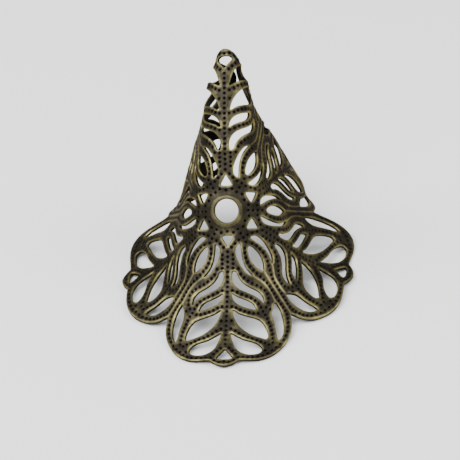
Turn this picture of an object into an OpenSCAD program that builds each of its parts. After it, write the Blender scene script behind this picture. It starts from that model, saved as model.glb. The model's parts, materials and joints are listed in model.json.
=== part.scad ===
// Filigree bead cap: one pierced sheet with six lobes, rolled into an open-backed cone.
// The flat pattern is charted once for half a lobe, mirrored, turned six times, then bent.
// Lengths are in millimetres. The cap lies on its open side, on the mouth lobe and the two lobes
// beside it. +Z is up, the mouth faces -Y and the narrow end rises toward +Y.

/* [Sheet] */
// Reach of the flat sheet, from the centre of the hub hole to the tip of a lobe
reach = 25; // [18:0.5:40]
// Thickness of the sheet
sheet_t = 0.5; // [0.4:0.05:0.8]
// Width of the ribs between the gaps
rib_w = 1.15; // [1:0.05:1.3]

/* [Hub] */
// Radius of the round hole in the hub
hole_r = 1.8; // [1.5:0.05:2]
// Width of the smooth ring round the hole
ring_w = 0.6; // [0.5:0.05:0.8]
// Height of the smooth ring above the sheet, on both faces
ring_rise = 0.22; // [0.18:0.02:0.3]

/* [Bend] */
// Extra wrap of the two walls round the cone, in degrees
wrap_more = 0; // [-4:0.5:4]
// Slope of the mouth lobe at its tip, where it flares forward, in degrees
mouth_slope = 42; // [30:1:48]
// Turn of the narrow end about the long axis, in degrees
tip_turn = 11; // [0:1:14]
// How much more the left wall curls in than the right one, growing with the height over the hub
left_curl = 20; // [0:1:22]

/* [Hidden] */

lobes = 6;
lobe_angle = 360 / lobes;

// Chart steps from the centre of the hub to the tip of a lobe
chart = 165;
step = reach / chart;
// Width of a rib as charted, in chart steps
chart_rib = 7;
// Each gap edge moves by this much when the ribs get wider or narrower
rib_shift = (rib_w / step - chart_rib) / 2;

// Corners of the rib network in half a lobe: [along the stem, across it], in chart steps
on_stem = [[18.5, 0], [40, 0], [57.5, 0], [80, 0], [98, 0], [121, 0], [141.5, 0], [161.2, 0]];
// Corners on the petal line between two lobes: distances from the hub
on_petal = [20.5, 31, 38.3, 80, 104, 127];
fork_leaf = [71.2, 30.7];
fork_branch = [106.5, 36];
fork_rim_leaf = [144.5, 44.5];
fork_rim_side = [153.8, 48];
fork_rim_tip = [155.2, 13.2];

// Middle lines of the ribs between those corners: [along, across]
hub_line = [[18.6, 5.5]];
triangle_line = [[30.5, 10], [35.5, 5.5]];
leaf_line = [[58.5, 6], [62.5, 11.5], [67, 15], [71, 19.5], [73, 25]];
lens_line = [[39.3, 16.9], [45.3, 17.5], [51.3, 19.2], [56.6, 21.9], [61.4, 25.7], [65.4, 29.7]];
branch_1 = [[81.5, 6], [84.3, 12], [87.2, 17.8], [90.2, 23.5], [94, 28.5], [99, 32.5]];
branch_2 = [[98.3, 6.5], [101.5, 12.5], [104.3, 18.5], [106.5, 24.5], [108, 30]];
branch_3 = [[122.5, 6.5], [127.3, 13], [131.5, 19.5], [135.3, 26.5], [138.8, 32.5], [142, 38.5]];
branch_4 = [[143.2, 3.8], [147, 7.5], [151, 11]];
edge_line = [[112.5, 39.5], [118.5, 42], [125, 44.5], [131.5, 46.5], [137.5, 47.3]];
notch_line = [[98.3, 43]];
rim_side = [[117.5, 63], [124, 63.7], [131, 64], [138, 63], [143.5, 60.5], [149, 56]];
rim_end = [[157, 41.5], [158, 34.5], [157.8, 27.5], [156.3, 20]];
rim_tip = [[158.8, 9.3], [160.5, 5]];

// Edges of the gaps in half a lobe: [along, across]
gap_1 = [
    [60.8, 5], [66, 3.8], [72, 5], [77, 8], [80.5, 12], [83.5, 17.5], [86.5, 23.5], [90.5, 29.5],
    [95, 34], [98, 36.8], [94, 37], [89, 35.5], [84.5, 32], [81.3, 27.5], [78.5, 22.5], [75, 17.5],
    [71, 13.5], [66.5, 10.5], [62, 8.5]
];
gap_2 = [
    [84, 4.3], [90, 5.3], [95, 9], [98.2, 14], [100.8, 19.5], [102.8, 25], [104, 29], [101, 28.8],
    [97.5, 27], [94, 23.5], [91.3, 18.5], [88.5, 12.5], [86, 8]
];
gap_3 = [
    [101.5, 5.8], [108, 6.5], [114, 9], [120, 12.8], [125, 17.5], [129.8, 23.5], [133.5, 29.5],
    [136.5, 35.5], [139, 40.8], [136, 43], [131, 42.3], [125, 40], [119.5, 37], [114.7, 32.5],
    [111.3, 26], [108.5, 19], [105.3, 12]
];
gap_4 = [
    [126.8, 4.8], [131, 5.3], [138, 7.3], [144, 10], [149, 14.3], [153, 21], [154.6, 28],
    [154.3, 34.5], [151, 37.5], [147, 36.5], [142, 32], [138.3, 26.3], [135, 18.5], [130.8, 11.5]
];
gap_side = [
    [98.7, 49], [104, 46.3], [111, 45.5], [118, 46.8], [125, 49], [132, 50.8], [139, 52],
    [144, 54.8], [138, 59], [131, 60], [124, 59.5], [117, 58], [110, 55.8], [104, 52.8]
];
gap_crescent = [
    [36.3, 8.3], [41.9, 7.4], [47.9, 9], [54.3, 11.9], [60.3, 15.5], [65.2, 20], [67.1, 25.4],
    [63.3, 22.3], [58.5, 18.7], [53, 16.2], [47, 14.6], [40.1, 13.6], [33.3, 12.4]
];
// Half of each gap that lies across a stem or a petal line, from its inner end to its outer end
half_tip = [[145, 0], [148.5, 3.2], [152, 6.2], [155.5, 8.3], [157.3, 6], [157.6, 0]];
half_triangle = [[24.8, 0], [25, 3.8], [26.2, 5.8], [29.5, 4.4], [33, 2.3], [36.2, 0]];
half_lens = [[41.7, 0], [43.5, 2.6], [47.5, 4.2], [53, 5.5], [58.5, 5.6], [64, 4.6], [68.5, 2.8], [72.5, 0]];
// Outer edge of half a lobe, from the notch to the tip
half_rim = [
    [116.5, 67.3], [124, 67.8], [131, 68.2], [138, 67.5], [144.5, 65.5], [150.5, 62], [155.5, 57.3],
    [159, 52], [161, 46], [161.8, 39], [161.4, 32], [160.2, 25], [159.2, 19], [158.8, 14.8],
    [161, 11.3], [163, 7.5], [164.3, 3.8], [165, 0]
];

// How the sheet is bent, a row for each height. Columns: height and roll radius as shares of the
// reach, wrap angle of the walls, tilt of the row, slope of the front line, outward flare of the
// walls in degrees per reach, and turn about the long axis.
HEIGHT = 0;
ROLL = 1;
WRAP = 2;
TILT = 3;
SLOPE = 4;
FLARE = 5;
TURN = 6;
form = [
    [-1.00, 0.550, 30, 23, mouth_slope, 92, 0],
    [-0.67, 0.560, 36, 17, 0.64 * mouth_slope, 82, 0],
    [-0.36, 0.450, 55, 3.5, 0.33 * mouth_slope, 56, 0],
    [-0.12, 0.365, 66, -0.5, 1, 56, 0],
    [0.12, 0.260, 68, -4.5, -1, -40, 0],
    [0.36, 0.190, 69, -12, 4, -46, 0],
    [0.67, 0.140, 78, -21, 10, -63, 0],
    [0.83, 0.120, 96, -28, 12, -30, 0.27 * tip_turn],
    [1.00, 0.045, 106, -28, 8, 0, tip_turn]
];
// Share of the reach past which the walls flare
flare_start = 0.515;

// Smooth reading of one column of the table at a height
function clamp(v, lo, hi) = min(max(v, lo), hi);
function row_below(h, i = 0) = i >= len(form) - 2 || h < form[i + 1][HEIGHT] ? i : row_below(h, i + 1);
function read(col, h) =
    let (
        hc = clamp(h, form[0][HEIGHT], form[len(form) - 1][HEIGHT]),
        i = row_below(hc),
        a = form[max(i - 1, 0)],
        b = form[i],
        c = form[i + 1],
        d = form[min(i + 2, len(form) - 1)],
        w = c[HEIGHT] - b[HEIGHT],
        f = (hc - b[HEIGHT]) / w,
        m0 = (c[col] - a[col]) / (c[HEIGHT] - a[HEIGHT]),
        m1 = (d[col] - b[col]) / (d[HEIGHT] - b[HEIGHT])
    )
    (2 * f ^ 3 - 3 * f ^ 2 + 1) * b[col] + (f ^ 3 - 2 * f ^ 2 + f) * w * m0
    + (3 * f ^ 2 - 2 * f ^ 3) * c[col] + (f ^ 3 - f ^ 2) * w * m1;

// Front line of the cone, summed in short steps from the hub: [up, back]
line_step = 1 / 66;
line_count = 67;
function march(dir, n, at = [0, 0], k = 0) =
    k >= n ? [at]
    : let (a = read(SLOPE, dir * (k + 0.5) * line_step))
      concat([at], march(dir, n, at + dir * line_step * reach * [cos(a), sin(a)], k + 1));
line_up = march(1, line_count);
line_down = march(-1, line_count);
function front_line(h) =
    let (
        u = abs(h) / line_step,
        i = min(floor(u), line_count - 1),
        side = h < 0 ? line_down : line_up
    )
    side[i] * (1 - (u - i)) + side[i + 1] * (u - i);

// A point of the flat sheet carried to the cone, before it is laid down: [right, up, front]
least_flare = 0.001;
function bend(v) =
    let (
        h = v[1] / reach,
        s = abs(v[0]),
        roll = read(ROLL, h) * reach,
        wrap = read(WRAP, h) + wrap_more * s / reach,
        tilt = read(TILT, h),
        curl = v[0] < 0 && h > 0 ? 1 + left_curl * h ^ 2 : 1,
        rate = curl * read(FLARE, h) / reach,
        flare = abs(rate) < least_flare ? least_flare : rate,
        turn = read(TURN, h),
        unit = 180 / PI,
        arc = min(s / roll * unit, wrap),
        rolled = roll * wrap / unit,
        straight = clamp(s - rolled, 0, max(flare_start * reach - rolled, 0)),
        tail = max(s - max(flare_start * reach, rolled), 0),
        last = wrap - flare * tail,
        out = roll * sin(arc) + straight * cos(wrap) + unit / flare * (sin(wrap) - sin(last)),
        back = roll * (1 - cos(arc)) + straight * sin(wrap) + unit / flare * (cos(last) - cos(wrap)),
        x0 = v[0] < 0 ? -out : out,
        x = x0 * cos(turn) + back * sin(turn),
        deep = back * cos(turn) - x0 * sin(turn),
        at = front_line(h)
    )
    [x, at[0] + deep * sin(tilt), -at[1] - deep * cos(tilt)];

// Unit normal of the bent sheet, pointing out of the cone
probe = 0.05;
function bent_normal(v) =
    let (
        along_x = bend(v + [probe, 0]) - bend(v - [probe, 0]),
        along_y = bend(v + [0, probe]) - bend(v - [0, probe]),
        n = cross(along_x, along_y)
    )
    n / norm(n);

// Laying the cap down: the pitch at which the mouth lobe and the other lobes touch the ground together,
// found by halving the range it can lie in
most_pitch = 80;
halvings = 18;
function pitched(v, a) = [v[0], v[1] * cos(a) - v[2] * sin(a), v[1] * sin(a) + v[2] * cos(a)];
function lowest(list, a) = min([for (v = list) pitched(v, a)[2]]);
function level_pitch(lo = 0, hi = most_pitch, n = halvings) =
    let (mid = (lo + hi) / 2)
    n <= 0 ? mid
    : lowest(mouth_rim, mid) > lowest(other_rims, mid) ? level_pitch(mid, hi, n - 1)
    : level_pitch(lo, mid, n - 1);

// Loops of the chart, run counter-clockwise as seen from outside the cone
function reversed(list) = [for (i = [len(list) - 1:-1:0]) list[i]];
function inner(list) = [for (i = [1:len(list) - 2]) list[i]];
function turned(v, a) = [v[0] * cos(a) - v[1] * sin(a), v[0] * sin(a) + v[1] * cos(a)];
function turn_all(list, a) = [for (v = list) turned(v, a)];
function flip(list) = [for (v = list) [v[0], -v[1]]];
function mirrored(list) = reversed(flip(list));
function petal(i) = turned([on_petal[i], 0], lobe_angle / 2);
function between(a, b) = [(a + b) / 2];

// Rib network round each gap of half a lobe
ring_1 = concat(
    [on_stem[2]], between(on_stem[2], on_stem[3]), [on_stem[3]], branch_1, [fork_branch], notch_line,
    [petal(4)], between(petal(4), petal(3)), [petal(3)], [fork_leaf], reversed(leaf_line)
);
ring_2 = concat(
    [on_stem[3]], between(on_stem[3], on_stem[4]), [on_stem[4]], branch_2, [fork_branch],
    reversed(branch_1)
);
ring_3 = concat(
    [on_stem[4]], between(on_stem[4], on_stem[5]), [on_stem[5]], branch_3, [fork_rim_leaf],
    reversed(edge_line), [fork_branch], reversed(branch_2)
);
ring_4 = concat(
    [on_stem[5]], between(on_stem[5], on_stem[6]), [on_stem[6]], branch_4, [fork_rim_tip],
    reversed(rim_end), [fork_rim_side], [fork_rim_leaf], reversed(branch_3)
);
ring_side = concat(
    [petal(4)], notch_line, [fork_branch], edge_line, [fork_rim_leaf], [fork_rim_side],
    reversed(rim_side), [petal(5)], between(petal(5), petal(4))
);
ring_crescent = concat(
    [petal(1)], triangle_line, [on_stem[1]], between(on_stem[1], on_stem[2]), [on_stem[2]],
    leaf_line, [fork_leaf], reversed(lens_line), [petal(2)]
);
// Rib network round the gaps that lie across a stem or a petal line
half_ring_tip = concat([on_stem[6]], branch_4, [fork_rim_tip], rim_tip, [on_stem[7]]);
half_ring_triangle = concat([on_stem[0]], hub_line, [petal(0), petal(1)], triangle_line, [on_stem[1]]);
half_ring_lens = turn_all(concat([petal(2)], lens_line, [fork_leaf, petal(3)]), -lobe_angle / 2);
function whole(half) = concat(flip(half), reversed(inner(half)));

// Gap edge moved into the gap by the rib shift, corner by corner
function unit2(v) = v / norm(v);
function inset(list) =
    let (n = len(list))
    [
        for (i = [0:n - 1])
            let (t = unit2(list[(i + 1) % n] - list[(i + n - 1) % n]))
            list[i] + rib_shift * [-t[1], t[0]]
    ];

// Each cell is a pair: the rib network round a gap, and the edge of that gap
half_cells = [
    [ring_1, gap_1], [ring_2, gap_2], [ring_3, gap_3], [ring_4, gap_4],
    [ring_side, gap_side], [ring_crescent, gap_crescent]
];
whole_cells = [
    [whole(half_ring_tip), whole(half_tip)],
    [whole(half_ring_triangle), whole(half_triangle)],
    [turn_all(whole(flip(half_ring_lens)), lobe_angle / 2), turn_all(whole(half_lens), lobe_angle / 2)]
];
lobe_cells = concat(
    [for (c = half_cells) [c[0], inset(c[1])]],
    [for (c = half_cells) [mirrored(c[0]), mirrored(inset(c[1]))]],
    [for (c = whole_cells) [c[0], inset(c[1])]]
);
// The sheet is closed to a small many-sided opening in the hub, which the round hole then clears
pilot_share = 0.7;
pilot_sides = 24;
hub_ring = [
    for (k = [0:lobes - 1])
        each turn_all(concat([on_stem[0]], hub_line, [petal(0)], turn_all(flip(hub_line), lobe_angle)),
                      k * lobe_angle)
];
hub_edge = [
    for (k = [0:pilot_sides - 1])
        pilot_share * hole_r / step * [cos(k * 360 / pilot_sides), sin(k * 360 / pilot_sides)]
];
half_rim_ring = concat([petal(5)], rim_side, [fork_rim_side], rim_end, [fork_rim_tip], rim_tip, [on_stem[7]]);
function round_lobe(half) = concat(flip(half), reversed(inner(half)));
function all_lobes(half) = [for (k = [0:lobes - 1]) each turn_all(round_lobe(half), k * lobe_angle)];
rim_ring = all_lobes(half_rim_ring);
rim_edge = all_lobes(half_rim);

// Strip of triangles between two loops that run side by side. Each edge of the outer loop is tied to
// the nearest corner of the inner one, and each outer corner fans over the inner corners left between.
// Corners are numbered: the outer loop first, then the inner one.
function nearest(a, b, list) =
    let (reach_sum = [for (v = list) norm(v - a) + norm(v - b)], least = min(reach_sum))
    [for (j = [0:len(list) - 1]) if (reach_sum[j] == least) j][0];
function strip(p, q) =
    let (
        n = len(p),
        m = len(q),
        tie = [for (i = [0:n - 1]) nearest(p[i], p[(i + 1) % n], q)]
    )
    [
        for (i = [0:n - 1])
            let (from = tie[(i + n - 1) % n], steps = (tie[i] - from + m) % m)
            each concat(
                [for (k = [1:1:steps]) [i, n + (from + k - 1) % m, n + (from + k) % m]],
                [[i, n + tie[i], (i + 1) % n]]
            )
    ];

// One cell as a list of corners, each snapped to a fine grid, and faces: front, back and wall of the gap
grid = 1e-4;
function snapped(v) = [for (c = v) round(c / grid) * grid];
function skins(list) =
    let (flat = [for (v = list) turned(v, 90) * step])
    concat(
        [for (v = flat) bend(v) + sheet_t / 2 * bent_normal(v)],
        [for (v = flat) bend(v) - sheet_t / 2 * bent_normal(v)]
    );
function cell_faces(cell, outward) =
    let (
        n = len(cell[0]),
        m = len(cell[1]),
        back = n + m,
        front = strip(cell[0], cell[1]),
        top = outward ? [for (f = front) reversed(f)] : front,
        bottom = [for (f = top) [f[2] + back, f[1] + back, f[0] + back]],
        wall = [
            for (j = [0:m - 1])
                let (a = n + j, b = n + (j + 1) % m)
                each [[a, a + back, b + back], [a, b + back, b]]
        ],
        side = outward ? [for (f = wall) reversed(f)] : wall
    )
    concat(top, bottom, side);

// Whole sheet: the cells of every lobe, the hub and the rim
cells = concat(
    [
        for (k = [0:lobes - 1], c = lobe_cells)
            [turn_all(c[0], k * lobe_angle), turn_all(c[1], k * lobe_angle)]
    ],
    [[hub_ring, hub_edge]],
    [[rim_ring, rim_edge]]
);
rim_index = len(cells) - 1;

// The rims decide how the cap lies and where the middle of its outline falls
mouth_lobe = 3;
lobe_rims = [for (k = [0:lobes - 1]) skins(turn_all(round_lobe(half_rim), k * lobe_angle))];
mouth_rim = lobe_rims[mouth_lobe];
other_rims = [for (k = [0:lobes - 1]) if (k != mouth_lobe) each lobe_rims[k]];
pitch = level_pitch();
outline = [for (list = lobe_rims) each [for (v = list) pitched(v, pitch)]];
function side_of(axis) = [for (v = outline) v[axis]];
function middle(axis) = (min(side_of(axis)) + max(side_of(axis))) / 2;
origin = [middle(0), middle(1), min(side_of(2))];
function laid(v) = snapped(pitched(v, pitch) - origin);

module sheet() {
    corner_lists = [for (c = cells) [for (v = skins(concat(c[0], c[1]))) laid(v)]];
    starts = [for (i = 0, sum = 0; i <= rim_index; sum = sum + len(corner_lists[i]), i = i + 1) sum];
    faces = [
        for (i = [0:rim_index])
            for (f = cell_faces(cells[i], i == rim_index))
                f + [1, 1, 1] * starts[i]
    ];
    polyhedron(points = [for (list = corner_lists) each list], faces = faces, convexity = 20);
}

// The hub's own axis, square to the sheet at the hole
hub_normal = pitched(bent_normal([0, 0]), pitch);
module at_hub() {
    translate(laid([0, 0, 0]))
        rotate([-atan2(hub_normal[1], hub_normal[2]), 0, 0])
            children();
}

module hub_bead() {
    height = sheet_t + 2 * ring_rise;
    cylinder(h = height, r = hole_r + ring_w, center = true, $fn = 96);
}

module filigree_cone() {
    color([0.42, 0.37, 0.2])
        difference() {
            union() {
                sheet();
                at_hub() hub_bead();
            }
            at_hub() cylinder(h = 6 * sheet_t, r = hole_r, center = true, $fn = 96);
        }
}

filigree_cone();
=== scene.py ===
import json
import math

import bpy
import numpy as np
from mathutils import Matrix, Vector, geometry


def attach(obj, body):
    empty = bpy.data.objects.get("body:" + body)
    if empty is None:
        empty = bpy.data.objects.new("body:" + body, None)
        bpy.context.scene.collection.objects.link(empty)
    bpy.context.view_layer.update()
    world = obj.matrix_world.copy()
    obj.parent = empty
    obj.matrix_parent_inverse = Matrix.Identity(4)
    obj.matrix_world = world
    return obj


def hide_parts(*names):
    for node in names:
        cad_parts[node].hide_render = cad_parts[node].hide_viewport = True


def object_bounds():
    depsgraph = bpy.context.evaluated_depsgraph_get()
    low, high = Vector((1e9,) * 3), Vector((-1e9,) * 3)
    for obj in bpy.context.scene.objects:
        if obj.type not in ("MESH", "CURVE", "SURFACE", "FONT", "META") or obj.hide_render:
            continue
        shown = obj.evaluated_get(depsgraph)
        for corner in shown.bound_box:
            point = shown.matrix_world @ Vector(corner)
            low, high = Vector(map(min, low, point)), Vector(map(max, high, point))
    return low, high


# Filigree bead cap in antique bronze. The pierced sheet is drawn flat for half a lobe in chart steps,
# meshed with its punched dots, mirrored and turned into six lobes, and then bent like the CAD sheet.

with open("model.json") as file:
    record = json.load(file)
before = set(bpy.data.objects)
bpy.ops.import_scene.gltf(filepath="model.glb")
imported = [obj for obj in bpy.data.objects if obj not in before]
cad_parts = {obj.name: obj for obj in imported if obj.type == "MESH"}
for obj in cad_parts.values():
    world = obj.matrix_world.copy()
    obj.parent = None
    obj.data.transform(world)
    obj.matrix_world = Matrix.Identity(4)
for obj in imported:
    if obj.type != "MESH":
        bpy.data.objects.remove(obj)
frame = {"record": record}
cad_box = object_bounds()

MM = 0.001

# Sheet and hub, in millimetres, the same as the CAD model's
REACH = 25.0
SHEET_T = 0.5
RIB_W = 1.15
HOLE_R = 1.8
RING_W = 0.6
RING_R = HOLE_R + RING_W
RING_RISE = 0.22
# The ring keeps the sheet flat as far as its edge, and the sheet curves again over this width
RING_BLEND = 3 * RING_W

# Bend, in degrees: slope of the mouth lobe and turn of the tip
MOUTH_SLOPE = 42.0
TIP_TURN = 11.0
# How much more the left wall curls in than the right one, growing with the height over the hub
LEFT_CURL = 20.0
# Where the walls start to flare, as a share of the reach, and the least flare, in radians a millimetre
FLARE_START = 0.515
LEAST_FLARE = 1e-5

# The chart runs from the middle of the hub to the tip of a lobe in this many steps
CHART = 165.0
STEP = REACH / CHART
LOBES = 6
LOBE_ANGLE = 360.0 / LOBES
HALF_ANGLE = LOBE_ANGLE / 2

# Edges of the gaps in half a lobe: along the stem and across it, in chart steps
GAP_1 = [(60.8, 5), (66, 3.8), (72, 5), (77, 8), (80.5, 12), (83.5, 17.5), (86.5, 23.5), (90.5, 29.5),
         (95, 34), (98, 36.8), (94, 37), (89, 35.5), (84.5, 32), (81.3, 27.5), (78.5, 22.5), (75, 17.5),
         (71, 13.5), (66.5, 10.5), (62, 8.5)]
GAP_2 = [(84, 4.3), (90, 5.3), (95, 9), (98.2, 14), (100.8, 19.5), (102.8, 25), (104, 29), (101, 28.8),
         (97.5, 27), (94, 23.5), (91.3, 18.5), (88.5, 12.5), (86, 8)]
GAP_3 = [(101.5, 5.8), (108, 6.5), (114, 9), (120, 12.8), (125, 17.5), (129.8, 23.5), (133.5, 29.5),
         (136.5, 35.5), (139, 40.8), (136, 43), (131, 42.3), (125, 40), (119.5, 37), (114.7, 32.5),
         (111.3, 26), (108.5, 19), (105.3, 12)]
GAP_4 = [(126.8, 4.8), (131, 5.3), (138, 7.3), (144, 10), (149, 14.3), (153, 21), (154.6, 28),
         (154.3, 34.5), (151, 37.5), (147, 36.5), (142, 32), (138.3, 26.3), (135, 18.5), (130.8, 11.5)]
GAP_SIDE = [(98.7, 49), (104, 46.3), (111, 45.5), (118, 46.8), (125, 49), (132, 50.8), (139, 52),
            (144, 54.8), (138, 59), (131, 60), (124, 59.5), (117, 58), (110, 55.8), (104, 52.8)]
GAP_CRESCENT = [(36.3, 8.3), (41.9, 7.4), (47.9, 9), (54.3, 11.9), (60.3, 15.5), (65.2, 20), (67.1, 25.4),
                (63.3, 22.3), (58.5, 18.7), (53, 16.2), (47, 14.6), (40.1, 13.6), (33.3, 12.4)]
# Halves of the gaps that lie across a stem, and of the lens gap that lies across a petal line
HALF_TIP = [(145, 0), (148.5, 3.2), (152, 6.2), (155.5, 8.3), (157.3, 6), (157.6, 0)]
HALF_TRIANGLE = [(24.8, 0), (25, 3.8), (26.2, 5.8), (29.5, 4.4), (33, 2.3), (36.2, 0)]
HALF_LENS = [(41.7, 0), (43.5, 2.6), (47.5, 4.2), (53, 5.5), (58.5, 5.6), (64, 4.6), (68.5, 2.8), (72.5, 0)]
# Outer edge of half a lobe, from the notch to the tip
HALF_RIM = [(116.5, 67.3), (124, 67.8), (131, 68.2), (138, 67.5), (144.5, 65.5), (150.5, 62), (155.5, 57.3),
            (159, 52), (161, 46), (161.8, 39), (161.4, 32), (160.2, 25), (159.2, 19), (158.8, 14.8),
            (161, 11.3), (163, 7.5), (164.3, 3.8), (165, 0)]

# Width of a rib as charted, and how far each gap edge moves into its gap to give the rib width wanted
CHART_RIB = 7.0
RIB_SHIFT = (RIB_W / STEP - CHART_RIB) / 2

# Middle lines of the ribs, which carry the rows of punched dots
RIB_LINES = [
    [(58, 0), (58.5, 6), (62.5, 11.5), (67, 15), (71, 19.5), (74.9, 24.8), (77.6, 29.8), (81.4, 35),
     (86.6, 39.6), (93.2, 41.6), (99.5, 40.9), (106.5, 36)],
    [(33.3, 19.2), (39.3, 16.9), (45.3, 17.5), (51.3, 19.2), (56.6, 21.9), (61.4, 25.7), (66.2, 30.6),
     (71.8, 36.2), (78, 41.3), (84, 44.8), (92.7, 49.8), (101.3, 54.8), (110, 60), (117.5, 63), (124, 63.7),
     (131, 64), (138, 63), (143.5, 60.5), (149, 56), (153.8, 48), (157, 41.5), (158, 34.5), (157.8, 27.5),
     (156.3, 20), (155.2, 13.2), (158.8, 9.3), (160.5, 5), (161.2, 0)],
    [(26.8, 15.5), (30.5, 10), (35.5, 5.5), (40, 0)],
    [(80, 0), (81.5, 6), (84.3, 12), (87.2, 17.8), (90.2, 23.5), (94, 28.5), (99, 32.5), (106.5, 36)],
    [(98, 0), (98.3, 6.5), (101.5, 12.5), (104.3, 18.5), (106.5, 24.5), (108, 30), (106.5, 36)],
    [(121, 0), (122.5, 6.5), (127.3, 13), (131.5, 19.5), (135.3, 26.5), (138.8, 32.5), (142, 38.5), (146, 44)],
    [(141.5, 0), (143.2, 3.8), (147, 7.5), (151, 11), (155.2, 13.2)],
    [(106.5, 36), (112.5, 39.5), (118.5, 42), (125, 44.5), (131.5, 46.5), (137.5, 47.3), (144.5, 48)],
]
# Where the rows of dots on the stem and on the petal line start
STEM_ROW_START = 20.6
PETAL_ROW_START = 21.5
# Rows of dots beside the stem, each as its distance from the stem and its two ends
STEM_ROWS = [(5.4, 40, 58), (3.4, 62, 72)]
# Dots that fill what is left are tried at these distances from the edges
FILL_ROWS = (3.5, 8.6, 13.7)
# Spacing and radius of the punched dots, in chart steps, and the least spacing in the planned rows
DOT_PITCH = 5.1
DOT_R = 1.55
ROW_ROOM = 0.82 * DOT_PITCH
# Least distance from the middle of a dot to an edge, and to an axis that it doesn't lie on
DOT_EDGE = 2.5
DOT_AXIS = 2.4
# Raised ridge between two rows of dots, from the end of the crescent gap to the side gap
SIDE_RIDGE = [(67.1, 25.4), (71.2, 30.7), (76, 36.5), (82.5, 41.2), (90, 45.3), (98.7, 49)]
# A second ridge runs on the petal line from the lens gap to the notch. Half the width of both
RIDGE_W = 1.7

# Relief of the front face, in millimetres: softened edges, sunk floor of the ribs and punched dots
EDGE_DROP = 0.09
FLOOR_DROP = 0.04
DOT_DEPTH = 0.26
# Distances from an edge, in chart steps, at which the softening ends and the sunk floor is reached
SOFT_END = 1.0
FLOOR_START = 2.2
# Distance from the middle of a ridge, in chart steps, at which it starts to fall to the floor
RIDGE_TOP = 0.2
# The flat floor of a punched dot and its outer edge, as shares of its radius
PIT_FLOOR = 0.5
PIT_EDGE = 1.1
# Half the raised band of the hub ring, as a share of the ring's width
RING_BAND = 0.62
# How worn the finish is, from 0 for black to 1 for bright: ribs, their sunk floor, hub ring and back
WORN_RIB = 0.86
WORN_FLOOR = 0.53
WORN_RING = 0.7
WORN_BACK = 0.25
# The ring's finish reaches this far past the ring, in chart steps
RING_FINISH = 0.6
# Faces that meet at more than this angle keep a sharp edge between them
SHARP_ANGLE = 55

# Mesh of the front, in chart steps: spacing of the points along the edges and of the grid between them
EDGE_SPACING = 1.7
FILL_SPACING = 2.6
# Distance of the grid from the edges, and from other points as a share of its spacing
FILL_EDGE = 1.6
FILL_ROOM = 0.55
# The grid starts here, inside the hub hole
GRID_START = 10.0
# The grid of the plain back: spacing, and distance from the edges
BACK_SPACING = 2 * FILL_SPACING
BACK_EDGE = 2.4
# A row of points beside the edges: distance, least distance as a share of it, directions tried round each
# point of the edges, spacing, and distance from the axes
EDGE_ROW = 0.95
EDGE_ROW_SLACK = 0.97
EDGE_ROW_TURNS = 16
EDGE_ROW_ROOM = 1.1
EDGE_ROW_AXIS = 0.5
# Rings of points for a dot: share of its radius, and how many points
DOT_RINGS = [(0.55, 6), (1.0, 8), (1.25, 8)]
# Distance of the rows along the ridges from an axis, from an edge, and from a dot as a share of its radius
RIDGE_AXIS = 0.8
RIDGE_EDGE = 0.6
RIDGE_DOT = 1.3
# Points on half a lobe's arc of the hub, rows of them on the ring, and how far the rows start past the
# hole and end past the ring
ARC_POINTS = 7
RING_ROWS = 6
RING_ROWS_IN = 0.7
RING_ROWS_OUT = 0.8
# No loose point lies closer than this to the border, unless it is on an axis
BORDER_ROOM = 0.35
# Points count as lying on an axis when they are this close to it
ON_AXIS = 1e-6

# How the sheet is bent, a row for each height. Columns: height and roll radius as shares of the reach,
# wrap angle of the walls, tilt of the row, slope of the front line, outward flare of the walls in degrees
# per reach, and turn about the long axis
HEIGHT, ROLL, WRAP, TILT, SLOPE, FLARE, TURN = range(7)
FORM = np.array([
    [-1.00, 0.550, 30, 23, MOUTH_SLOPE, 92, 0],
    [-0.67, 0.560, 36, 17, 0.64 * MOUTH_SLOPE, 82, 0],
    [-0.36, 0.450, 55, 3.5, 0.33 * MOUTH_SLOPE, 56, 0],
    [-0.12, 0.365, 66, -0.5, 1, 56, 0],
    [0.12, 0.260, 68, -4.5, -1, -40, 0],
    [0.36, 0.190, 69, -12, 4, -46, 0],
    [0.67, 0.140, 78, -21, 10, -63, 0],
    [0.83, 0.120, 96, -28, 12, -30, 0.27 * TIP_TURN],
    [1.00, 0.045, 106, -28, 8, 0, TIP_TURN],
])
# The front line is summed up in this many steps each way, to a little past the tips
LINE_STEPS = 400
LINE_END = 1.02
# Normals are taken between points this far to each side, in millimetres
PROBE = 0.05

# Size and strength of the patina's clouds and of the fine grain
PATINA_SCALE = 420.0
PATINA_AMOUNT = 0.7
GRAIN_SCALE = 2600.0
GRAIN_AMOUNT = 0.25
# Tones of the bronze from black to worn gold: level and colour
TONES = [(0.05, (0.004, 0.0037, 0.0034)), (0.3, (0.010, 0.0088, 0.0072)), (0.55, (0.024, 0.021, 0.015)),
         (0.8, (0.084, 0.074, 0.036)), (1.0, (0.215, 0.188, 0.070))]

# Stage, in metres: half the floor's width, and how far it lies under the part
FLOOR_HALF = 3.0
FLOOR_GAP = 0.00002
# Strength of the even light all round, and the lamps over it: name, place, width and power
WORLD_LIGHT = 0.61
LAMPS = [("front", (-0.15, -0.28, 0.52), 0.50, 5.8), ("left", (-0.42, 0.02, 0.42), 0.30, 2.0),
         ("right", (0.42, -0.02, 0.42), 0.30, 2.2)]
LAMP_TARGET = (0, 0, 0.01)

# Camera, from the fit to the photo: turned about the long axis and in its own plane, in degrees, and far
# off, in millimetres. The picture's width and the place of the hub in it are in pixels, and at the hub a
# pixel is one chart step
VIEW_YAW = 8.2
VIEW_ROLL = 1.7
VIEW_DISTANCE = 303.0
PHOTO_SIZE = 460
PHOTO_HUB = (226.8, 210.8)
SENSOR = 36.0


# Bending

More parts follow.
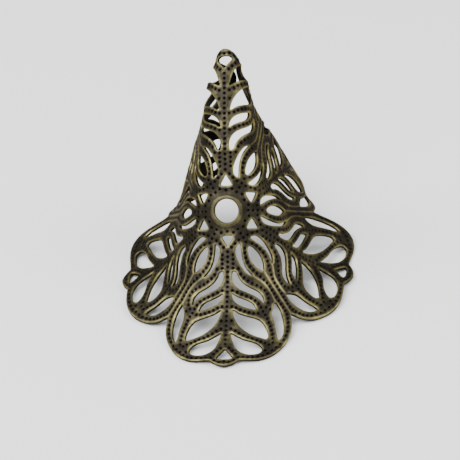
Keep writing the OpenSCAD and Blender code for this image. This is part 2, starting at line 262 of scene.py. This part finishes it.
def read(column, h):
    """Smooth reading of one column of the table at each height."""
    x, v = FORM[:, HEIGHT], FORM[:, column]
    h = np.clip(h, x[0], x[-1])
    i = np.clip(np.searchsorted(x, h, side="right") - 1, 0, len(x) - 2)
    slope = np.empty(len(x))
    slope[1:-1] = (v[2:] - v[:-2]) / (x[2:] - x[:-2])
    slope[0] = (v[1] - v[0]) / (x[1] - x[0])
    slope[-1] = (v[-1] - v[-2]) / (x[-1] - x[-2])
    w = x[i + 1] - x[i]
    f = (h - x[i]) / w
    return ((2 * f**3 - 3 * f**2 + 1) * v[i] + (f**3 - 2 * f**2 + f) * w * slope[i]
            + (3 * f**2 - 2 * f**3) * v[i + 1] + (f**3 - f**2) * w * slope[i + 1])


def front_line():
    """Heights, and the upward and backward place of the cone's front line at each, from the hub."""
    n = LINE_STEPS
    h = np.linspace(-LINE_END, LINE_END, 2 * n + 1)
    middle = (h[1:] + h[:-1]) / 2
    slope = np.radians(read(SLOPE, middle))
    length = (h[1] - h[0]) * REACH
    up = np.concatenate([[0], np.cumsum(np.cos(slope) * length)])
    back = np.concatenate([[0], np.cumsum(np.sin(slope) * length)])
    return h, up - up[n], back - back[n]


LINE_H, LINE_UP, LINE_BACK = front_line()


def roll(flat):
    """Points of the flat sheet, in millimetres, carried to the cone: right, up and front of the hub."""
    h = flat[:, 1] / REACH
    s = np.abs(flat[:, 0])
    radius = read(ROLL, h) * REACH
    wrap = np.radians(read(WRAP, h))
    tilt = np.radians(read(TILT, h))
    flare = np.radians(read(FLARE, h)) / REACH
    flare = np.where((h > 0) & (flat[:, 0] < 0), (1 + LEFT_CURL * h * h) * flare, flare)
    flare = np.where(np.abs(flare) < LEAST_FLARE, LEAST_FLARE, flare)
    turn = np.radians(read(TURN, h))
    arc = np.minimum(s / radius, wrap)
    rolled = radius * wrap
    start = FLARE_START * REACH
    straight = np.clip(s - rolled, 0, np.maximum(start - rolled, 0))
    tail = np.maximum(s - np.maximum(start, rolled), 0)
    last = wrap - flare * tail
    out = radius * np.sin(arc) + straight * np.cos(wrap) + (np.sin(wrap) - np.sin(last)) / flare
    back = radius * (1 - np.cos(arc)) + straight * np.sin(wrap) + (np.cos(last) - np.cos(wrap)) / flare
    side = np.where(flat[:, 0] < 0, -out, out)
    x = side * np.cos(turn) + back * np.sin(turn)
    deep = back * np.cos(turn) - side * np.sin(turn)
    up = np.interp(h, LINE_H, LINE_UP) + deep * np.sin(tilt)
    front = -np.interp(h, LINE_H, LINE_BACK) - deep * np.cos(tilt)
    return np.stack([x, up, front], axis=1)


def normals_of(flat):
    """Unit normals of the bent sheet, pointing out of the cone."""
    along_x = roll(flat + [PROBE, 0]) - roll(flat - [PROBE, 0])
    along_y = roll(flat + [0, PROBE]) - roll(flat - [0, PROBE])
    n = np.cross(along_x, along_y)
    return n / np.linalg.norm(n, axis=1)[:, None]


def smooth_step(low, high, v):
    t = np.clip((v - low) / (high - low), 0, 1)
    return t * t * (3 - 2 * t)


HUB_NORMAL = normals_of(np.zeros((1, 2)))[0]
HUB_UP = np.cross(HUB_NORMAL, [1, 0, 0])


def bend(flat, lift):
    """Points of the flat sheet raised by lift from its middle, on the cone."""
    r = np.hypot(flat[:, 0], flat[:, 1])
    level = 1 - smooth_step(RING_R, RING_R + RING_BLEND, r)[:, None]
    disc = flat[:, :1] * [[1, 0, 0]] + flat[:, 1:] * HUB_UP[None, :]
    place = roll(flat) * (1 - level) + disc * level
    normal = normals_of(flat) * (1 - level) + HUB_NORMAL[None, :] * level
    normal /= np.linalg.norm(normal, axis=1)[:, None]
    return place + normal * lift[:, None]


# The hub mount of the record says where the hub lies and how far the cap is pitched
hub_mount = next(m for m in frame["record"]["mounts"] if m["name"] == "hub_hole")
HUB = np.array(hub_mount["pos_m"])
PITCH = (math.atan2(hub_mount["axis"][2], hub_mount["axis"][1])
         - math.atan2(HUB_NORMAL[2], HUB_NORMAL[1]))


def pitched(v):
    """Directions or lengths beside the cone's front, turned as the cap lies."""
    c, s = math.cos(PITCH), math.sin(PITCH)
    return np.stack([v[..., 0], v[..., 1] * c - v[..., 2] * s, v[..., 1] * s + v[..., 2] * c], axis=-1)


def laid(v):
    """Millimetres beside the cone's front, to metres in the frame."""
    return pitched(v) * MM + HUB


# Flat pattern

def smoothed(points, closed):
    """Points of a smooth curve through the given ones, close together, with the given ones kept."""
    p = np.array(points, float)
    n = len(p)
    out = []
    for i in range(n if closed else n - 1):
        a, b = p[i], p[(i + 1) % n]
        before = p[i - 1] if closed or i > 0 else a - (b - a)
        after = p[(i + 2) % n] if closed or i + 2 < n else b + (b - a)
        chord = np.linalg.norm(b - a)
        count = max(1, math.ceil(chord / EDGE_SPACING))
        t = (np.arange(count) / count)[:, None]
        m0 = (b - before) / (chord + np.linalg.norm(a - before)) * chord
        m1 = (after - a) / (np.linalg.norm(after - b) + chord) * chord
        out.append((2 * t**3 - 3 * t**2 + 1) * a + (t**3 - 2 * t**2 + t) * m0
                   + (3 * t**2 - 2 * t**3) * b + (t**3 - t**2) * m1)
    if not closed:
        out.append(p[-1:])
    return np.vstack(out)


def turned(points, degrees):
    p = np.asarray(points, float)
    c, s = math.cos(math.radians(degrees)), math.sin(math.radians(degrees))
    return np.stack([p[:, 0] * c - p[:, 1] * s, p[:, 0] * s + p[:, 1] * c], axis=1)


def shifted(line, offset, closed):
    """A line moved to its left by the offset, corner by corner."""
    if closed:
        t = np.roll(line, -1, axis=0) - np.roll(line, 1, axis=0)
    else:
        t = np.gradient(line, axis=0)
    t /= np.linalg.norm(t, axis=1)[:, None]
    return line + offset * np.stack([-t[:, 1], t[:, 0]], axis=1)


def both_sides(half):
    """All corners of a gap that lies across an axis, from those of its half."""
    return list(half) + [(a, -b) for a, b in reversed(half[1:-1])]


def inset(loop):
    """A gap's edge moved into the gap by the rib shift."""
    p = np.array(loop, float)
    area = np.sum(p[:, 0] * np.roll(p[:, 1], -1) - p[:, 1] * np.roll(p[:, 0], -1))
    return shifted(p, math.copysign(RIB_SHIFT, area), True)


def inset_half(half):
    """The same for a gap that lies across an axis, given and returned as its half."""
    moved = inset(both_sides(half))[: len(half)]
    moved[[0, -1], 1] = 0
    return [tuple(v) for v in moved]


GAPS = [inset(gap) for gap in (GAP_1, GAP_2, GAP_3, GAP_4, GAP_SIDE, GAP_CRESCENT)]
TIP, TRIANGLE, LENS = (inset_half(half) for half in (HALF_TIP, HALF_TRIANGLE, HALF_LENS))


def half_of_whole(half):
    """The given half of a gap that lies across an axis, smoothed as part of the whole gap."""
    curve = smoothed(both_sides(half), True)
    last = int(np.argmin(np.linalg.norm(curve - np.array(half[-1], float), axis=1)))
    return curve[: last + 1]


def axis_points(start, end, spacing):
    count = max(1, round((end - start) / spacing))
    return np.stack([np.linspace(start, end, count + 1), np.zeros(count + 1)], axis=1)


def hub_arc(radius):
    """Points from the stem to the petal line, at a radius, in chart steps, round the middle of the hub."""
    turns = np.radians(np.linspace(0, HALF_ANGLE, ARC_POINTS))
    return radius * np.stack([np.cos(turns), np.sin(turns)], axis=1)


def wedge_border():
    """The edge of half a lobe's metal as a closed loop, the loops of the gaps inside it, and all edges."""
    hole = HOLE_R / STEP
    arc = hub_arc(hole)[::-1]
    triangle = half_of_whole(TRIANGLE)
    tip = half_of_whole(TIP)
    lens = turned(half_of_whole(LENS) * [1, -1], HALF_ANGLE)
    rim = smoothed(HALF_RIM, False)
    notch = np.linalg.norm(rim[0])
    rim[0] = turned([[notch, 0]], HALF_ANGLE)[0]
    stem_1 = axis_points(hole, TRIANGLE[0][0], EDGE_SPACING)
    stem_2 = axis_points(TRIANGLE[-1][0], TIP[0][0], EDGE_SPACING)
    stem_3 = axis_points(TIP[-1][0], CHART, EDGE_SPACING)
    petal_1 = turned(axis_points(LENS[-1][0], notch, EDGE_SPACING), HALF_ANGLE)
    petal_2 = turned(axis_points(hole, LENS[0][0], EDGE_SPACING), HALF_ANGLE)
    border = np.vstack([
        arc[:-1], stem_1[:-1], triangle[:-1], stem_2[:-1], tip[:-1], stem_3[:-1], rim[::-1][:-1],
        petal_1[::-1][:-1], lens[::-1][:-1], petal_2[::-1][:-1],
    ])
    gaps = [smoothed(gap, True) for gap in GAPS]
    edges = np.vstack([arc, triangle, tip, lens, rim] + gaps)
    return border, gaps, edges


def inside(points, loop):
    """True for each point inside a closed loop."""
    x, y = points[:, 0], points[:, 1]
    hit = np.zeros(len(points), bool)
    for (x0, y0), (x1, y1) in zip(loop, np.roll(loop, -1, axis=0)):
        if y0 == y1:
            continue
        cross = (y0 > y) != (y1 > y)
        hit ^= cross & (x < (x1 - x0) * (y - y0) / (y1 - y0) + x0)
    return hit


def distance(points, others):
    """Distance from each point to the nearest of the others, taken a batch at a time."""
    out = np.full(len(points), np.inf)
    batch = 200
    for i in range(0, len(others), batch):
        gap = np.linalg.norm(points[:, None, :] - others[None, i:i + batch, :], axis=2)
        out = np.minimum(out, gap.min(axis=1))
    return out


def in_metal(points, border, gaps):
    ok = inside(points, border)
    for gap in gaps:
        ok &= ~inside(points, gap)
    return ok


def along(path, pitch):
    """Points at an even pitch along a path, from its start."""
    lengths = np.concatenate([[0], np.cumsum(np.linalg.norm(np.diff(path, axis=0), axis=1))])
    count = max(1, round(lengths[-1] / pitch))
    at = np.linspace(0, lengths[-1], count + 1)
    return np.stack([np.interp(at, lengths, path[:, 0]), np.interp(at, lengths, path[:, 1])], axis=1)


def petal_side(points):
    """Distance of each point from the petal line, positive on the side of the half lobe."""
    a = math.radians(HALF_ANGLE)
    return points[:, 0] * math.sin(a) - points[:, 1] * math.cos(a)


def on_axis(points):
    """True for each point on the stem or on the petal line."""
    return (np.abs(points[:, 1]) < ON_AXIS) | (np.abs(petal_side(points)) < ON_AXIS)


def dot_rows(gaps):
    """The planned rows of dots, on both axes and along the ribs, and the rows that fill what is left."""
    planned = [axis_points(STEM_ROW_START, CHART, DOT_PITCH),
               turned(axis_points(PETAL_ROW_START, LENS[0][0], DOT_PITCH), HALF_ANGLE)]
    planned += [axis_points(start, end, DOT_PITCH) + [0, beside] for beside, start, end in STEM_ROWS]
    planned += [along(smoothed(line, False), DOT_PITCH) for line in RIB_LINES]
    lines = [(gap, True) for gap in gaps] + [(smoothed(HALF_RIM, False), False)]
    filling = [along(shifted(line, side * offset, closed), DOT_PITCH / 2)
               for offset in FILL_ROWS for line, closed in lines for side in (1, -1)]
    return planned, filling


def dots(border, gaps, edges):
    """Middles of the punched dots in half a lobe, each one kept if it has room beside those before it."""
    walls = np.vstack([edges, hub_arc(RING_R / STEP)])
    holes = gaps + [smoothed(both_sides(half), True) for half in (TIP, TRIANGLE)]
    holes.append(turned(smoothed(both_sides(LENS), True), HALF_ANGLE))
    planned, filling = dot_rows(gaps)
    kept = np.zeros((0, 2))
    for rows, room in ((planned, ROW_ROOM), (filling, DOT_PITCH)):
        for row in rows:
            off_axis = inside(row, border) & (row[:, 1] > DOT_AXIS) & (petal_side(row) > DOT_AXIS)
            in_hole = np.any([inside(row, hole) for hole in holes], axis=0)
            row = row[(on_axis(row) | off_axis) & ~in_hole]
            for p in row[distance(row, walls) > DOT_EDGE]:
                if distance(p[None], kept)[0] >= room:
                    kept = np.vstack([kept, p])
    return kept


def triangulated(border, gaps, loose):
    """Triangles of the metal between the border and the gaps, through the loose points too."""
    loops = [border] + gaps
    points = np.vstack(loops + [loose])
    edges = []
    first = 0
    for loop in loops:
        n = len(loop)
        edges += [(first + i, first + (i + 1) % n) for i in range(n)]
        first += n
    found = geometry.delaunay_2d_cdt([Vector(p) for p in points], edges, [], 0, 1e-6)
    corners = np.array([tuple(v) for v in found[0]])
    faces = np.array([f for f in found[2] if len(f) == 3])
    a, b, c = (corners[faces[:, k]] for k in range(3))
    area = ((b[:, 0] - a[:, 0]) * (c[:, 1] - a[:, 1]) - (b[:, 1] - a[:, 1]) * (c[:, 0] - a[:, 0])) / 2
    faces[area < 0] = faces[area < 0][:, ::-1]
    keep = (np.abs(area) > 1e-4) & in_metal((a + b + c) / 3, border, gaps)
    return corners, faces[keep]


def fill_points(border, gaps, edges, taken, spacing, edge_gap):
    """An even triangular grid of points in the metal, clear of its edges and of the points taken."""
    rows = []
    height = spacing * math.sqrt(3) / 2
    widest = max(across for _, across in HALF_RIM)
    for k in range(math.ceil(widest / height)):
        xs = np.arange(GRID_START + (k % 2) * spacing / 2, CHART, spacing)
        rows.append(np.stack([xs, np.full(len(xs), (k + 0.5) * height)], axis=1))
    grid = np.vstack(rows)
    grid = grid[in_metal(grid, border, gaps)]
    grid = grid[distance(grid, np.vstack([edges, border])) > edge_gap]
    return grid[distance(grid, taken) > spacing * FILL_ROOM]


def edge_row(border, gaps, edges):
    """Points in the metal in a row beside the edges, thinned by means of square cells."""
    turns = np.linspace(0, 2 * math.pi, EDGE_ROW_TURNS, endpoint=False)
    ring = EDGE_ROW * np.stack([np.cos(turns), np.sin(turns)], axis=1)
    row = (edges[:, None, :] + ring[None]).reshape(-1, 2)
    row = row[in_metal(row, border, gaps)]
    row = row[distance(row, edges) > EDGE_ROW * EDGE_ROW_SLACK]
    row = row[distance(row, border) > EDGE_ROW_AXIS]
    kept, cells = [], {}
    for p in row:
        i, j = int(p[0] // EDGE_ROW_ROOM), int(p[1] // EDGE_ROW_ROOM)
        near = [q for di in (-1, 0, 1) for dj in (-1, 0, 1) for q in cells.get((i + di, j + dj), [])]
        if all((p[0] - q[0]) ** 2 + (p[1] - q[1]) ** 2 > EDGE_ROW_ROOM**2 for q in near):
            cells.setdefault((i, j), []).append(p)
            kept.append(p)
    return np.array(kept)


def dot_points(middles):
    """Rings of points for each dot. A dot on an axis gives only the points on its side, and on the axis."""
    out = []
    for p in middles:
        start = 0 if abs(p[1]) < ON_AXIS else math.radians(HALF_ANGLE)
        out.append([p])
        for share, count in DOT_RINGS:
            turn = start + (np.arange(count) * 2 * math.pi / count)
            ring = p + DOT_R * share * np.stack([np.cos(turn), np.sin(turn)], axis=1)
            keep = (ring[:, 1] > -ON_AXIS) & (petal_side(ring) > -ON_AXIS)
            out.append(ring[keep])
    return np.vstack(out)


def ridge_lines():
    """Points along the raised ridges of half a lobe."""
    notch = np.linalg.norm(HALF_RIM[0])
    side = smoothed(SIDE_RIDGE, False)
    petal = turned(axis_points(LENS[-1][0], notch, EDGE_SPACING), HALF_ANGLE)
    return side, petal


def ridge_points(ridges, border, gaps, edges, middles):
    """Three rows of points along each ridge, in the metal and clear of its edges, axes and dots."""
    rows = np.vstack([shifted(ridge, beside, False) for ridge in ridges for beside in (-RIDGE_W, 0, RIDGE_W)])
    rows = rows[in_metal(rows, border, gaps)]
    rows = rows[(petal_side(rows) > RIDGE_AXIS) & (distance(rows, edges) > RIDGE_EDGE)]
    return rows[distance(rows, middles) > DOT_R * RIDGE_DOT]


def all_lobes(corners, faces):
    """Half a lobe mirrored and turned into the whole sheet, with shared corners joined."""
    points, tris = [], []
    first = 0
    for k in range(LOBES):
        for mirror in (1, -1):
            points.append(turned(corners * [1, mirror], 90 + k * LOBE_ANGLE))
            tris.append((faces if mirror > 0 else faces[:, ::-1]) + first)
            first += len(corners)
    points, tris = np.vstack(points), np.vstack(tris)
    keys = np.round(points, 3) + 0.0
    _, index, back = np.unique(keys, axis=0, return_index=True, return_inverse=True)
    return points[index], back.reshape(-1)[tris]


def open_edges(faces):
    """Edges with one face, each in the direction that its face runs."""
    pairs = np.vstack([faces[:, [0, 1]], faces[:, [1, 2]], faces[:, [2, 0]]])
    keys = np.sort(pairs, axis=1)
    _, index, counts = np.unique(keys, axis=0, return_index=True, return_counts=True)
    return pairs[index[counts == 1]]


def whole(points):
    """Points of half a lobe, mirrored and turned into those of the whole sheet."""
    return all_lobes(points, np.zeros((1, 3), int))[0]


def flat_mesh():
    """Corners and faces of a finely meshed front and a plain back, and the edges, dots and ridges."""
    border, gaps, edges = wedge_border()
    middles = dots(border, gaps, edges)
    ridges = ridge_lines()
    radii = np.linspace(HOLE_R / STEP + RING_ROWS_IN, RING_R / STEP + RING_ROWS_OUT, RING_ROWS)
    ring = np.vstack([hub_arc(r) for r in radii])
    fine = np.vstack([dot_points(middles), ring, ridge_points(ridges, border, gaps, edges, middles),
                      edge_row(border, gaps, edges)])
    fine = np.vstack([fine, fill_points(border, gaps, edges, fine, FILL_SPACING, FILL_EDGE)])
    fine = fine[on_axis(fine) | (distance(fine, border) >= BORDER_ROOM)]
    coarse = fill_points(border, gaps, edges, np.zeros((0, 2)), BACK_SPACING, BACK_EDGE)
    front = all_lobes(*triangulated(border, gaps, fine))
    back = all_lobes(*triangulated(border, gaps, coarse))
    return front, back, [whole(points) for points in (edges, middles, np.vstack(ridges))]


def relief(flat, edge_gap, dot_gap, ridge_gap):
    """Height of the front face over the sheet's own, in millimetres, and how worn each point is."""
    hard = 1 - smooth_step(0, SOFT_END, edge_gap)
    sunk = smooth_step(SOFT_END, FLOOR_START, edge_gap) * smooth_step(RIDGE_TOP, RIDGE_W, ridge_gap)
    pit = 1 - smooth_step(DOT_R * PIT_FLOOR, DOT_R * PIT_EDGE, dot_gap)
    r = np.hypot(flat[:, 0], flat[:, 1])
    middle = (HOLE_R + RING_R) / 2 / STEP
    band = np.clip(1 - ((r - middle) / (RING_W / STEP * RING_BAND)) ** 2, 0, 1)
    height = RING_RISE * np.sqrt(band) - EDGE_DROP * hard - FLOOR_DROP * sunk - DOT_DEPTH * pit
    worn = WORN_RIB + (WORN_FLOOR - WORN_RIB) * sunk
    worn = np.where(r < RING_R / STEP + RING_FINISH, WORN_RING, worn)
    return height, worn * (1 - pit)


def wall_faces(front_flat, front_faces, back_flat):
    """Faces from the open edges of the front to the corners at the same flat places on the back."""
    front_keys = np.round(front_flat, 2) + 0.0
    back_keys = np.round(back_flat, 2) + 0.0
    behind = {tuple(key): len(front_flat) + i for i, key in enumerate(back_keys)}
    faces = []
    for a, b in open_edges(front_faces):
        behind_a = behind.get(tuple(front_keys[a]))
        behind_b = behind.get(tuple(front_keys[b]))
        if behind_a is not None and behind_b is not None:
            faces += [(b, a, behind_a), (b, behind_a, behind_b)]
    return np.array(faces)


def filigree():
    """The pierced sheet as one closed mesh, laid in the frame."""
    (front_flat, front_faces), (back_flat, back_faces), marks = flat_mesh()
    height, worn = relief(front_flat, *[distance(front_flat, mark) for mark in marks])
    front = bend(front_flat * STEP, SHEET_T / 2 + height)
    back = bend(back_flat * STEP, np.full(len(back_flat), -SHEET_T / 2))
    faces = np.vstack([front_faces, back_faces[:, ::-1] + len(front),
                       wall_faces(front_flat, front_faces, back_flat)])
    mesh = bpy.data.meshes.new("filigree_sheet")
    mesh.from_pydata(laid(np.vstack([front, back])).tolist(), [], faces.tolist())
    mesh.update()
    level = mesh.attributes.new("worn", "FLOAT", "POINT")
    level.data.foreach_set("value", np.concatenate([worn, np.full(len(back), WORN_BACK)]).astype(np.float32))
    mesh.polygons.foreach_set("use_smooth", [True] * len(mesh.polygons))
    mesh.set_sharp_from_angle(angle=math.radians(SHARP_ANGLE))
    piece = bpy.data.objects.new("filigree_sheet", mesh)
    bpy.context.scene.collection.objects.link(piece)
    return piece


# Materials

def bronze():
    """Antique bronze: near black in the dots and on the inside, olive gold where the edges are worn."""
    material = bpy.data.materials.new("antique_bronze")
    material.use_nodes = True
    tree = material.node_tree
    nodes, links = tree.nodes, tree.links
    shader = nodes["Principled BSDF"]
    shader.inputs["Metallic"].default_value = 0.85
    shader.inputs["Specular Tint"].default_value = (0.36, 0.33, 0.23, 1)

    place = nodes.new("ShaderNodeTexCoord")

    def noise(scale, detail):
        node = nodes.new("ShaderNodeTexNoise")
        node.inputs["Scale"].default_value = scale
        node.inputs["Detail"].default_value = detail
        links.new(place.outputs["Object"], node.inputs["Vector"])
        return node.outputs["Fac"]

    def uneven(level, pattern, amount):
        """The level with a pattern of 0 to 1 on it, up and down by half the amount."""
        centred = nodes.new("ShaderNodeMath")
        centred.operation = "SUBTRACT"
        links.new(pattern, centred.inputs[0])
        centred.inputs[1].default_value = 0.5
        added = nodes.new("ShaderNodeMath")
        added.operation = "MULTIPLY_ADD"
        links.new(centred.outputs[0], added.inputs[0])
        added.inputs[1].default_value = amount
        links.new(level, added.inputs[2])
        return added.outputs[0]

    patina = noise(PATINA_SCALE, 5.0)
    grain = noise(GRAIN_SCALE, 3.0)
    worn = nodes.new("ShaderNodeAttribute")
    worn.attribute_name = "worn"
    level = uneven(worn.outputs["Fac"], patina, PATINA_AMOUNT)
    level = uneven(level, grain, GRAIN_AMOUNT)

    ramp = nodes.new("ShaderNodeValToRGB")
    stops = ramp.color_ramp.elements
    while len(stops) < len(TONES):
        stops.new(1.0)
    for stop, (position, colour) in zip(stops, TONES):
        stop.position = position
        stop.color = (*colour, 1)
    links.new(level, ramp.inputs["Fac"])
    links.new(ramp.outputs["Color"], shader.inputs["Base Color"])

    rough = nodes.new("ShaderNodeMapRange")
    rough.inputs["To Min"].default_value = 0.62
    rough.inputs["To Max"].default_value = 0.34
    links.new(level, rough.inputs["Value"])
    links.new(rough.outputs["Result"], shader.inputs["Roughness"])

    bump = nodes.new("ShaderNodeBump")
    bump.inputs["Strength"].default_value = 0.25
    bump.inputs["Distance"].default_value = 0.00003
    links.new(grain, bump.inputs["Height"])
    links.new(bump.outputs["Normal"], shader.inputs["Normal"])
    return material


def floor_material():
    material = bpy.data.materials.new("pale_floor")
    material.use_nodes = True
    shader = material.node_tree.nodes["Principled BSDF"]
    shader.inputs["Base Color"].default_value = (0.85, 0.86, 0.872, 1)
    shader.inputs["Roughness"].default_value = 0.9
    return material


# Stage, lamps and camera

def ground():
    z = cad_box[0][2] - FLOOR_GAP
    corners = [(x * FLOOR_HALF, y * FLOOR_HALF, z) for x, y in ((-1, -1), (1, -1), (1, 1), (-1, 1))]
    mesh = bpy.data.meshes.new("ground")
    mesh.from_pydata(corners, [], [(0, 1, 2, 3)])
    mesh.materials.append(floor_material())
    plane = bpy.data.objects.new("ground", mesh)
    bpy.context.scene.collection.objects.link(plane)


def lamp(name, place, width, power):
    data = bpy.data.lights.new(name, "AREA")
    data.shape = "DISK"
    data.size = width
    data.energy = power
    light = bpy.data.objects.new(name, data)
    light.location = place
    light.rotation_euler = (Vector(LAMP_TARGET) - Vector(place)).to_track_quat("-Z", "Y").to_euler()
    bpy.context.scene.collection.objects.link(light)


def lights():
    world = bpy.data.worlds.new("studio")
    world.use_nodes = True
    background = world.node_tree.nodes["Background"]
    background.inputs["Color"].default_value = (1, 1, 1, 1)
    background.inputs["Strength"].default_value = WORLD_LIGHT
    bpy.context.scene.world = world
    for name, place, width, power in LAMPS:
        lamp(name, place, width, power)


def camera():
    yaw, spin = math.radians(VIEW_YAW), math.radians(VIEW_ROLL)
    right = np.array([math.cos(spin) * math.cos(yaw), -math.sin(spin), -math.cos(spin) * math.sin(yaw)])
    up = np.array([math.sin(spin) * math.cos(yaw), math.cos(spin), -math.sin(spin) * math.sin(yaw)])
    ahead = np.array([-math.sin(yaw), 0, -math.cos(yaw)])
    aside = (PHOTO_HUB[0] - PHOTO_SIZE / 2) * STEP
    above = (PHOTO_SIZE / 2 - PHOTO_HUB[1]) * STEP
    eye = -(aside * right + above * up + VIEW_DISTANCE * ahead)
    data = bpy.data.cameras.new("camera")
    data.sensor_width = SENSOR
    data.lens = SENSOR * VIEW_DISTANCE / (PHOTO_SIZE * STEP)
    data.clip_end = 20.0
    cam = bpy.data.objects.new("camera", data)
    turn = Matrix([pitched(v) for v in (right, up, -ahead)]).transposed()
    cam.matrix_world = Matrix.Translation(laid(eye)) @ turn.to_4x4()
    bpy.context.scene.collection.objects.link(cam)
    bpy.context.scene.camera = cam


sheet = filigree()
sheet.data.materials.append(bronze())
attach(sheet, "root")
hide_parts("filigree_cone")
ground()
lights()
camera()
